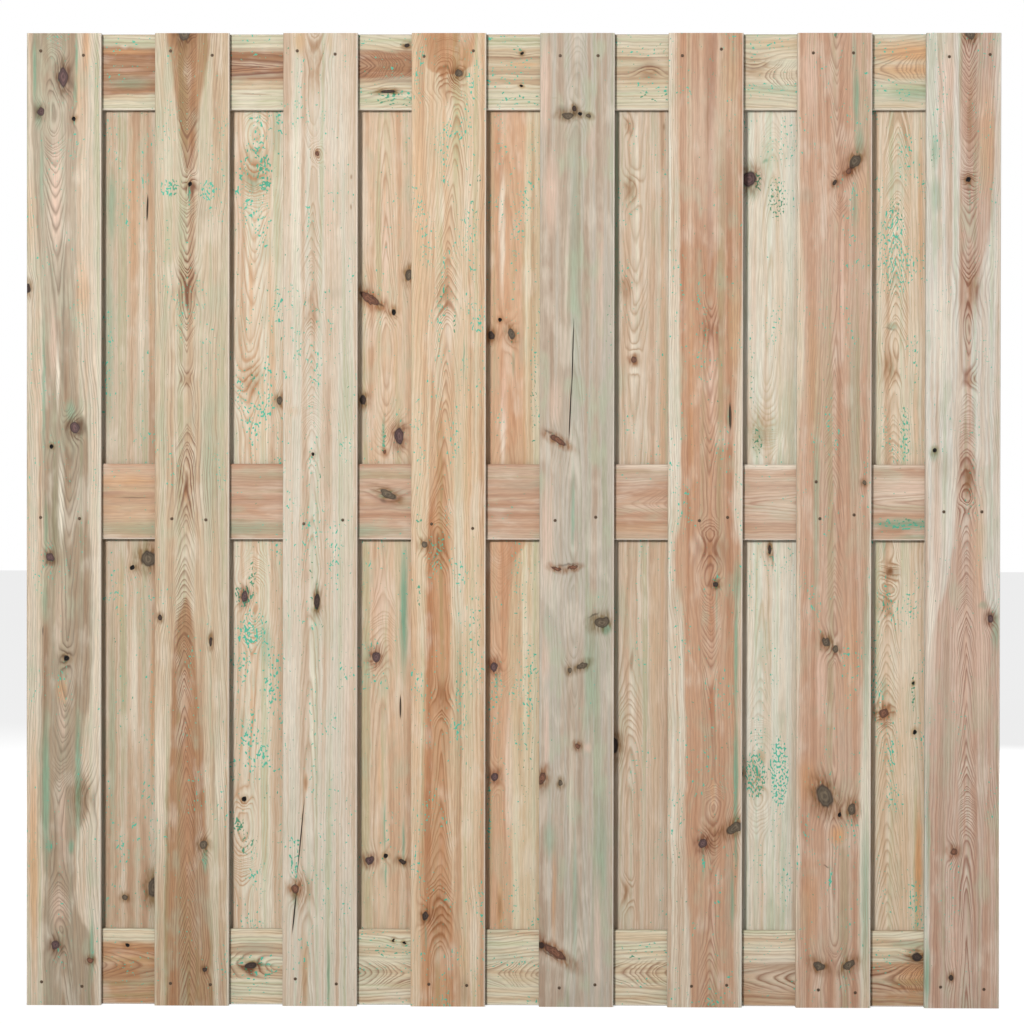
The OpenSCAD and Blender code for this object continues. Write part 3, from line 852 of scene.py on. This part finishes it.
def pine(name, board, spots, origin, turned, seed):
    """Pressure-treated pine, planed: pale sapwood, tan heart, brown latewood lines that bend round its knots."""
    material, tree = begin(name)
    seen = add(tree, "TexCoord", output=3)
    turn = (0.0, math.radians(-90) if turned else 0.0, 0.0)
    place = add(tree, "Mapping", seen, origin, turn, (METRE,) * 3, vector_type="POINT")
    rippled = shifted(tree, place, (13, 13, 42), seed + 5, (2.8, 1.0, 6.0), 2.0)
    ragged = shifted(tree, rippled, (8, 8, 11), seed + 7, (2.0, 0.0, 2.0), 1.0)
    line, heart = year_rings(tree, rippled, board, seed)
    tone = add(tree, "Mix", heart, colour(board.sap), colour(board.heart), data_type="RGBA")
    # Long bands of paler, greener, pinker and browner wood run with the grain
    band = figure(tree, rippled, (14, 14, 800), seed + 17)
    tint = ramp(tree, band, GRAIN_TINTS)
    tone = add(tree, "Mix", board.bands, tone, tint, data_type="RGBA", blend_type="MULTIPLY")
    # Copper salts leave a grey-green cast in patches, and other patches are washed pale
    patch = figure(tree, place, (34, 34, 90), seed + 13, 3.0)
    tone = add(tree, "Mix", fades(tree, patch, 0.7, 0.52, 0.3), tone, colour("#E6DCCB"), data_type="RGBA")
    cast = fades(tree, patch, 0.3, 0.47, board.green)
    tone = add(tree, "Mix", cast, tone, colour("#AFB49A"), data_type="RGBA")
    marks = stains(tree, rippled, board)
    # Nail dimples and checks are painted dark inside: painted shade in these hollows, with some grime round the nails
    shade_and_grime_spots = [crack(check, 0.6) for check in board.checks]
    shade_and_grime_spots += [Mark(x, z, NAIL_SHADE_AND_GRIME, NAIL_SHADE_AND_GRIME, "black") for x, z in spots]
    hollow_shade_and_grime = None
    for spot in shade_and_grime_spots:
        hollow_shade_and_grime = nearest(tree, hollow_shade_and_grime, disc(tree, place, spot))
    if shade_and_grime_spots:
        marks["black"] = nearest(tree, marks.get("black"), fades(tree, hollow_shade_and_grime, 0.4, 0.0, 0.9))
    for kind, share in marks.items():
        if kind in ("pale", "pink", "orange", "tan", "rust", "grey", "green"):
            tone = add(tree, "Mix", share, tone, colour(MARK_HUES[kind]), data_type="RGBA")
    tone = add(tree, "Mix", line, tone, colour(board.late), data_type="RGBA")
    fibre = figure(tree, place, (1.3, 1.3, 26), seed + 21)
    grain = add(tree, "MapRange", fibre, 0.3, 0.7, 0.88, 1.07)
    tone = add(tree, "Mix", 1.0, tone, grain, data_type="RGBA", blend_type="MULTIPLY")
    for kind in ("brown", "black"):
        if kind in marks:
            tone = add(tree, "Mix", marks[kind], tone, colour(MARK_HUES[kind]), data_type="RGBA")
    # Treatment salts dry as small blue-green specks, thicker in places and in the latewood
    specks = figure(tree, rippled, (3.6, 3.6, 5.0), seed + 25, 0.5)
    clouds = figure(tree, place, (40, 40, 110), seed + 29, 1.0)
    thick = add(tree, "MapRange", clouds, 0.45, 0.7, board.specks * 0.2, board.specks)
    if "teal" in marks:
        thick = add(tree, "Math", marks["teal"], thick, operation="MAXIMUM")
    thick = add(tree, "Math", line, 0.12, thick, operation="MULTIPLY_ADD")
    limit = add(tree, "Math", thick, -0.29, 0.8, operation="MULTIPLY_ADD")
    shown = add(tree, "Math", specks, limit, operation="SUBTRACT")
    shown = add(tree, "MapRange", shown, 0.0, 0.07, 0.0, 0.95)
    salt = ramp(tree, clouds, ((0.38, "#4A8A6A"), (0.56, MARK_HUES["teal"])))
    tone = add(tree, "Mix", shown, tone, salt, data_type="RGBA")
    smudge = figure(tree, rippled, (5, 5, 16), seed + 33, 1.0)
    for kind, edge in knot_edges(tree, ragged, board).items():
        tone = knot_wood(tree, tone, kind, edge, smudge)
    parts = add(tree, "SeparateXYZ", place).node.outputs
    # A pale line is painted along the eased right-hand or lower arris: a painted highlight where the edge catches the
    # light
    arris = fades(tree, parts[0], board.width - 1.0, board.width - 3.5, 0.6)
    tone = add(tree, "Mix", arris, tone, colour("#F2E8DA"), data_type="RGBA")
    # Planed faces keep the relief of their fibres, about 0.1 mm deep
    bump = add(tree, "Bump", 0.25, 0.0004, sockets={"Height": fibre})
    rough = add(tree, "MapRange", line, 0.0, 1.0, 0.78, 0.62)
    shader = add(
        tree, "BsdfPrincipled", tone, 0.0, rough, 1.5, sockets={"Normal": bump, "Specular IOR Level": 0.3}
    )
    add_output(tree, shader)
    return material


def knot_wood(tree, tone, kind, edge, smudge):
    """Lays the knots of one kind over the wood: their cast on it, their ringed wood and their bark, which for a lost
    knot's hole are near black as painted shade.
    """
    halo, body, rim = KNOT_HUES[kind]
    glow = fades(tree, edge, 0.8, KNOT_CAST, 0.5 if kind == "eye" else 1.0)
    glow = add(tree, "Math", glow, add(tree, "MapRange", smudge, 0.3, 0.65, 0.35, 1.2), operation="MULTIPLY")
    tone = add(tree, "Mix", glow, tone, colour(halo), data_type="RGBA", blend_type="MULTIPLY")
    if kind == "eye":
        return tone
    circles = add(tree, "Math", edge, KNOT_CIRCLES, operation="MULTIPLY")
    circles = add(tree, "Math", circles, operation="SINE")
    circles = add(tree, "Math", circles, 0.2, smudge, operation="MULTIPLY_ADD")
    flesh = add(tree, "Mix", circles, colour(body), colour(rim), data_type="RGBA")
    bark = fades(tree, edge, 0.95, 0.55, 0.9)
    flesh = add(tree, "Mix", bark, flesh, colour(rim), data_type="RGBA")
    inside = fades(tree, edge, 0.85, 1.2)
    return add(tree, "Mix", inside, tone, flesh, data_type="RGBA")


def add_output(tree, shader):
    """Ends a tree at its surface."""
    out = tree.nodes.new("ShaderNodeOutputMaterial")
    tree.links.new(shader, out.inputs["Surface"])


def nail_steel():
    """Mild steel wire nails, hammered flush: a dull dark head, browned by weather."""
    material, tree = begin("dull_nail_steel")
    seen = add(tree, "TexCoord", output=3)
    cells = add(tree, "VectorMath", seen, (METRE,) * 3, operation="MULTIPLY")
    patches = figure(tree, cells, (1.5, 1.5, 1.5), 3)
    tone = add(tree, "Mix", patches, colour("#3A322B"), colour("#5A4634"), data_type="RGBA")
    rough = add(tree, "MapRange", patches, 0.3, 0.7, 0.45, 0.7)
    shader = add(tree, "BsdfPrincipled", tone, 0.8, rough)
    add_output(tree, shader)
    return material


def seen_directly(tree):
    """1 where a ray comes from the camera, or by way of a gloss or glass, and else 0."""
    path = add(tree, "LightPath").node.outputs
    seen = add(tree, "Math", path["Is Camera Ray"], path["Is Glossy Ray"], operation="MAXIMUM")
    return add(tree, "Math", seen, path["Is Transmission Ray"], operation="MAXIMUM")


def white_floor():
    """Matt white studio floor: nearly pure white to the eye, and it keeps a faint shadow."""
    material, tree = begin("matt_white_floor")
    lit = add(tree, "BsdfDiffuse", colour("#F2F2F0"))
    half_lit = add(tree, "BsdfDiffuse", colour("#B4B4B4"))
    glow = add(tree, "Emission", colour("#FFFFFF"), 0.8)
    bright = add(tree, "AddShader", half_lit, glow)
    add_output(tree, add(tree, "MixShader", seen_directly(tree), lit, bright))
    return material


def edit(made):
    """Opens one object alone in edit mode and returns its mesh for selecting."""
    bpy.ops.object.select_all(action="DESELECT")
    bpy.context.view_layer.objects.active = made
    made.select_set(True)
    bpy.ops.object.mode_set(mode="EDIT")
    return bmesh.from_edit_mesh(made.data)


def pick(made, wanted, kind="EDGE"):
    """Selects the edges or faces that a test accepts, and nothing else."""
    bpy.ops.mesh.select_mode(type=kind)
    bpy.ops.mesh.select_all(action="DESELECT")
    mesh = bmesh.from_edit_mesh(made.data)
    for item in mesh.edges if kind == "EDGE" else mesh.faces:
        if wanted(item):
            item.select_set(True)
    bmesh.update_edit_mesh(made.data)


def runs(edge, axis):
    """True if an edge lies along an axis."""
    step = edge.verts[1].co - edge.verts[0].co
    return abs(step[axis]) > 0.999 * step.length


def sawn_board(name, low, high, length_axis, sizes):
    """A planed board with eased long edges."""
    bpy.ops.object.select_all(action="DESELECT")
    bpy.ops.mesh.primitive_cube_add(size=1, location=(low + high) / 2)
    board = bpy.context.object
    board.name = board.data.name = name
    board.scale = high - low
    bpy.ops.object.transform_apply(location=True, rotation=True, scale=True)
    edit(board)
    pick(board, lambda e: runs(e, length_axis))
    bpy.ops.mesh.bevel(offset=sizes.arris, segments=4, profile=0.5, affect="EDGES")
    bpy.ops.object.mode_set(mode="OBJECT")
    return board


def score(made, found, low, upright):
    """Divides a board's faces across each of its hollows, so that no face has a hole within its rim."""
    edit(made)
    for spot, _ in found:
        across = (spot.z + OFF_CENTRE * spot.half_z) * MM
        bpy.ops.mesh.select_all(action="SELECT")
        if upright:
            bpy.ops.mesh.bisect(plane_co=(0, 0, low.z + across), plane_no=(0, 0, 1))
        else:
            bpy.ops.mesh.bisect(plane_co=(low.x + across, 0, 0), plane_no=(1, 0, 0))
    bpy.ops.object.mode_set(mode="OBJECT")


def hollows(board, spots, sizes):
    """The hollows in a board's face, each a spot with its depth: nail dimples, checks and empty knots."""
    dimple = sizes.nail_radius * 1.4 * METRE
    found = [(Mark(x, z, dimple, dimple), sizes.nail_depth * 1.6 * METRE) for x, z in spots]
    found += [(crack(check), sizes.check_depth * METRE) for check in board.checks]
    found += [
        (knot._replace(half_x=knot.half_x * 0.8, half_z=knot.half_z * 0.8), sizes.hole_depth * METRE)
        for knot in board.knots if knot.kind == "hole"
    ]
    return found


def carve(made, found, low, high, upright, facing):
    """Cuts the hollows into one face of a board, with one solid made of flattened balls."""
    cutters = []
    for spot, depth in found:
        turn = math.radians(spot.lean + (0 if upright else 90))
        bpy.ops.object.select_all(action="DESELECT")
        bpy.ops.mesh.primitive_uv_sphere_add(segments=20, ring_count=12, radius=1)
        ball = bpy.context.object
        face_y = low.y if facing < 0 else high.y
        if upright:
            ball.location = (low.x + spot.x * MM, face_y, low.z + spot.z * MM)
        else:
            ball.location = (low.x + spot.z * MM, face_y, high.z - spot.x * MM)
        ball.rotation_euler = (0, turn, 0)
        ball.scale = (spot.half_x * MM, depth * MM, spot.half_z * MM)
        cutters.append(ball)
    if not cutters:
        return
    bpy.ops.object.select_all(action="DESELECT")
    for ball in cutters:
        ball.select_set(True)
    bpy.context.view_layer.objects.active = cutters[0]
    bpy.ops.object.join()
    cutter = bpy.context.object
    bpy.ops.object.transform_apply(location=True, rotation=True, scale=True)
    bpy.ops.object.select_all(action="DESELECT")
    bpy.context.view_layer.objects.active = made
    made.select_set(True)
    cut = made.modifiers.new("hollows", "BOOLEAN")
    cut.operation = "DIFFERENCE"
    cut.solver = "EXACT"
    cut.use_self = True
    cut.object = cutter
    bpy.ops.object.modifier_apply(modifier=cut.name)
    bpy.ops.object.select_all(action="DESELECT")
    cutter.select_set(True)
    bpy.ops.object.delete()


class PanelSizes(bpy.types.PropertyGroup):
    """Sizes of what is added to the boards."""

    arris: bpy.props.FloatProperty(
        name="Arris Radius", description="Radius of the boards' eased long edges",
        default=0.0025, min=0.0005, max=0.004, unit="LENGTH",
    )
    nail_radius: bpy.props.FloatProperty(
        name="Nail Head Radius", description="Radius of a nail's head",
        default=0.0024, min=0.001, max=0.005, unit="LENGTH",
    )
    nail_depth: bpy.props.FloatProperty(
        name="Nail Depth", description="How far a nail's head is driven below the board's face",
        default=0.0008, min=0.0, max=0.003, unit="LENGTH",
    )
    check_depth: bpy.props.FloatProperty(
        name="Check Depth", description="How deep the cracks from drying go",
        default=0.003, min=0.0005, max=0.006, unit="LENGTH",
    )
    hole_depth: bpy.props.FloatProperty(
        name="Hole Depth", description="How deep the holes of lost knots go",
        default=0.004, min=0.0005, max=0.006, unit="LENGTH",
    )


class PanelStage(bpy.types.PropertyGroup):
    """Where the camera and the lamps stand, and how strong they are."""

    camera_place: bpy.props.FloatVectorProperty(
        name="Camera Place", description="Where the camera stands",
        default=(0.964, -5.5, 0.953), subtype="TRANSLATION", unit="LENGTH",
    )
    camera_turn: bpy.props.FloatVectorProperty(
        name="Camera Turn", description="The camera's rotation, 90 degrees about X being level",
        default=(math.radians(89.608), math.radians(-0.084), math.radians(0.681)), subtype="EULER",
    )
    lens: bpy.props.FloatProperty(
        name="Lens", description="The camera's focal length in millimetres",
        default=104.2, min=20, max=300, unit="CAMERA",
    )
    key_place: bpy.props.FloatVectorProperty(
        name="Key Place", description="Where the main lamp stands, in front and to the left",
        default=(-1.0, -6.2, 3.0), subtype="TRANSLATION", unit="LENGTH",
    )
    key_power: bpy.props.FloatProperty(
        name="Key Power", description="Power of the main lamp", default=375.0, min=0, unit="POWER",
    )
    key_size: bpy.props.FloatProperty(
        name="Key Size", description="Side of the main lamp, which sets how soft the gaps' shadows are",
        default=0.7, min=0.01, unit="LENGTH",
    )
    side_place: bpy.props.FloatVectorProperty(
        name="Side Place", description="Where the soft lamp on the right stands",
        default=(3.2, -4.2, 3.4), subtype="TRANSLATION", unit="LENGTH",
    )
    side_power: bpy.props.FloatProperty(
        name="Side Power", description="Power of the soft lamp on the right", default=25.0, min=0, unit="POWER",
    )
    back_place: bpy.props.FloatVectorProperty(
        name="Back Place", description="Where the soft lamp behind the panel stands",
        default=(2.1, 5.0, 2.6), subtype="TRANSLATION", unit="LENGTH",
    )
    back_power: bpy.props.FloatProperty(
        name="Back Power", description="Power of the soft lamp behind the panel", default=240.0, min=0, unit="POWER",
    )
    world_light: bpy.props.FloatProperty(
        name="Fill", description="Strength of the even light from all round",
        default=0.10, min=0, max=1,
    )


def dress(node, board, spots, seed, side, context):
    """Replaces one CAD board by a shaped one, with its own figure."""
    sizes = context.scene.panel_sizes
    upright = side != "rail"
    low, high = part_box(node)
    made = sawn_board(node + "_board", low, high, 2 if upright else 0, sizes)
    found = hollows(board, spots, sizes)
    score(made, found, low, upright)
    if side == "back":
        carve(made, found[:len(spots)], low, high, upright, 1)
        found = found[len(spots):]
    carve(made, found, low, high, upright, -1)
    mid_y = -METRE * (low.y + high.y) / 2
    origin = (-METRE * low.x, mid_y, 0.0) if upright else (METRE * high.z, mid_y, 0.0)
    # Only the front planks get painted shade and grime round their nail dimples
    shade_and_grime_spots = spots if side == "front" else []
    made.data.materials.clear()
    made.data.materials.append(pine("planed_pine_" + node, board, shade_and_grime_spots, origin, not upright, seed))
    bpy.ops.object.select_all(action="DESELECT")
    made.select_set(True)
    bpy.ops.object.shade_smooth_by_angle(angle=math.radians(30))
    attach(made, "root")
    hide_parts(node)
    return made


class PANEL_OT_stage(bpy.types.Operator):
    """Adds the floor, the lamps and the camera"""

    bl_idname = "panel.stage"
    bl_label = "Stage"

    def execute(self, context):
        stage = context.scene.panel_stage
        bpy.ops.object.select_all(action="DESELECT")
        bpy.ops.mesh.primitive_plane_add(size=60, location=(0.9, 0, cad_box[0].z - 0.0005))
        floor = context.object
        floor.name = "floor"
        floor.data.materials.append(white_floor())
        bpy.ops.object.camera_add(location=stage.camera_place, rotation=stage.camera_turn)
        camera = context.object
        camera.data.lens = stage.lens
        camera.data.sensor_width = 36
        context.scene.camera = camera
        middle = (cad_box[0] + cad_box[1]) / 2
        for place, power, size in (
            (stage.key_place, stage.key_power, stage.key_size),
            (stage.side_place, stage.side_power, SOFT_LAMP),
            (stage.back_place, stage.back_power, SOFT_LAMP),
        ):
            aim = (middle - Vector(place)).to_track_quat("-Z", "Y").to_euler()
            bpy.ops.object.light_add(type="AREA", location=place, rotation=aim)
            lamp = context.object
            lamp.data.energy, lamp.data.size = power, size
            lamp.visible_camera = False
        world = bpy.data.worlds.new("even_white")
        context.scene.world = world
        world.use_nodes = True
        tree = world.node_tree
        tree.nodes.clear()
        strength = add(tree, "MapRange", seen_directly(tree), 0.0, 1.0, stage.world_light, 1.0)
        light = add(tree, "Background", colour("#FFFFFF"), strength)
        out = tree.nodes.new("ShaderNodeOutputWorld")
        tree.links.new(light, out.inputs["Surface"])
        context.scene.view_settings.view_transform = "Standard"
        # One bounce between boards and floor lights the gaps, and more would only take time
        context.scene.cycles.diffuse_bounces = 1
        return {"FINISHED"}


class PANEL_OT_rails(bpy.types.Operator):
    """Adds the three flat rails"""

    bl_idname = "panel.rails"
    bl_label = "Rails"

    def execute(self, context):
        for number, (node, board) in enumerate(zip(RAILS, RAIL_BOARDS)):
            dress(node, board, [], 3.0 + 7 * number, "rail", context)
        return {"FINISHED"}


class PANEL_OT_front_planks(bpy.types.Operator):
    """Adds the upright planks of the front layer"""

    bl_idname = "panel.front_planks"
    bl_label = "Front Planks"

    def execute(self, context):
        for number, board in enumerate(FRONT_BOARDS[:FRONT_COUNT], 1):
            spots = nail_spots(board, number)
            dress(f"front_plank_{number}", board, spots, 11.0 * number, "front", context)
        return {"FINISHED"}


class PANEL_OT_back_planks(bpy.types.Operator):
    """Adds the upright planks of the back layer"""

    bl_idname = "panel.back_planks"
    bl_label = "Back Planks"

    def execute(self, context):
        for number, board in enumerate(BACK_BOARDS[:BACK_COUNT], 1):
            spots = nail_spots(board, number)
            dress(f"back_plank_{number}", board, spots, 200 + 13.0 * number, "back", context)
        return {"FINISHED"}


def nail_head(sizes):
    """One wire nail's head: a shallow dome on a short shank, pointing to -Y."""
    bpy.ops.object.select_all(action="DESELECT")
    bpy.ops.mesh.primitive_cylinder_add(
        vertices=14, radius=sizes.nail_radius, depth=0.003, location=(0, 0, 0),
        rotation=(math.radians(90), 0, 0),
    )
    nail = bpy.context.object
    bpy.ops.object.transform_apply(location=True, rotation=True, scale=True)
    edit(nail)
    pick(nail, lambda f: f.normal.y < -0.9, "FACE")
    bpy.ops.mesh.inset(thickness=sizes.nail_radius * 0.35, depth=sizes.nail_radius * 0.08)
    bpy.ops.mesh.inset(thickness=sizes.nail_radius * 0.3, depth=sizes.nail_radius * 0.03)
    bpy.ops.object.mode_set(mode="OBJECT")
    return nail


class PANEL_OT_nails(bpy.types.Operator):
    """Adds the sunk nail heads, two at each crossing of a plank and a rail"""

    bl_idname = "panel.nails"
    bl_label = "Nails"

    def execute(self, context):
        sizes = context.scene.panel_sizes
        steel = nail_steel()
        for side, boards, count in (("front", FRONT_BOARDS, FRONT_COUNT), ("back", BACK_BOARDS, BACK_COUNT)):
            heads = []
            for number, board in enumerate(boards[:count], 1):
                low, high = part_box(f"{side}_plank_{number}")
                for x, z in nail_spots(board, number):
                    nail = nail_head(sizes)
                    deep = sizes.nail_depth + nail.dimensions.y / 2
                    face_y = low.y + deep
                    if side == "back":
                        bpy.ops.transform.rotate(value=math.pi, orient_axis="Z", center_override=(0, 0, 0))
                        face_y = high.y - deep
                    nail.location = (low.x + x * MM, face_y, low.z + z * MM)
                    heads.append(nail)
            bpy.ops.object.select_all(action="DESELECT")
            for nail in heads:
                nail.select_set(True)
            context.view_layer.objects.active = heads[0]
            bpy.ops.object.join()
            nails = context.object
            nails.name = f"{side}_nails"
            bpy.ops.object.transform_apply(location=True, rotation=True, scale=True)
            bpy.ops.object.shade_smooth_by_angle(angle=math.radians(30))
            nails.data.materials.append(steel)
            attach(nails, "root")
        return {"FINISHED"}


class PANEL_PT_sidebar(bpy.types.Panel):
    """Lists the steps that build the panel"""

    bl_idname = "PANEL_PT_sidebar"
    bl_label = "Garden Screen Panel"
    bl_space_type = "VIEW_3D"
    bl_region_type = "UI"
    bl_category = "Screen Panel"

    def draw(self, context):
        column = self.layout.column()
        for name in STEPS:
            column.operator(name)
        for group in (context.scene.panel_sizes, context.scene.panel_stage):
            for prop in group.bl_rna.properties:
                if prop.identifier not in ("rna_type", "name"):
                    column.prop(group, prop.identifier)


STEPS = ("panel.rails", "panel.front_planks", "panel.back_planks", "panel.nails", "panel.stage")
CLASSES = (
    PanelSizes, PanelStage, PANEL_OT_rails, PANEL_OT_front_planks, PANEL_OT_back_planks,
    PANEL_OT_nails, PANEL_OT_stage, PANEL_PT_sidebar,
)


def register():
    for part in CLASSES:
        bpy.utils.register_class(part)
    bpy.types.Scene.panel_sizes = bpy.props.PointerProperty(type=PanelSizes)
    bpy.types.Scene.panel_stage = bpy.props.PointerProperty(type=PanelStage)


def unregister():
    del bpy.types.Scene.panel_stage
    del bpy.types.Scene.panel_sizes
    for part in reversed(CLASSES):
        bpy.utils.unregister_class(part)


def main():
    register()
    bpy.ops.panel.rails()
    bpy.ops.panel.front_planks()
    bpy.ops.panel.back_planks()
    bpy.ops.panel.nails()
    bpy.ops.panel.stage()


if __name__ == "__main__":
    main()
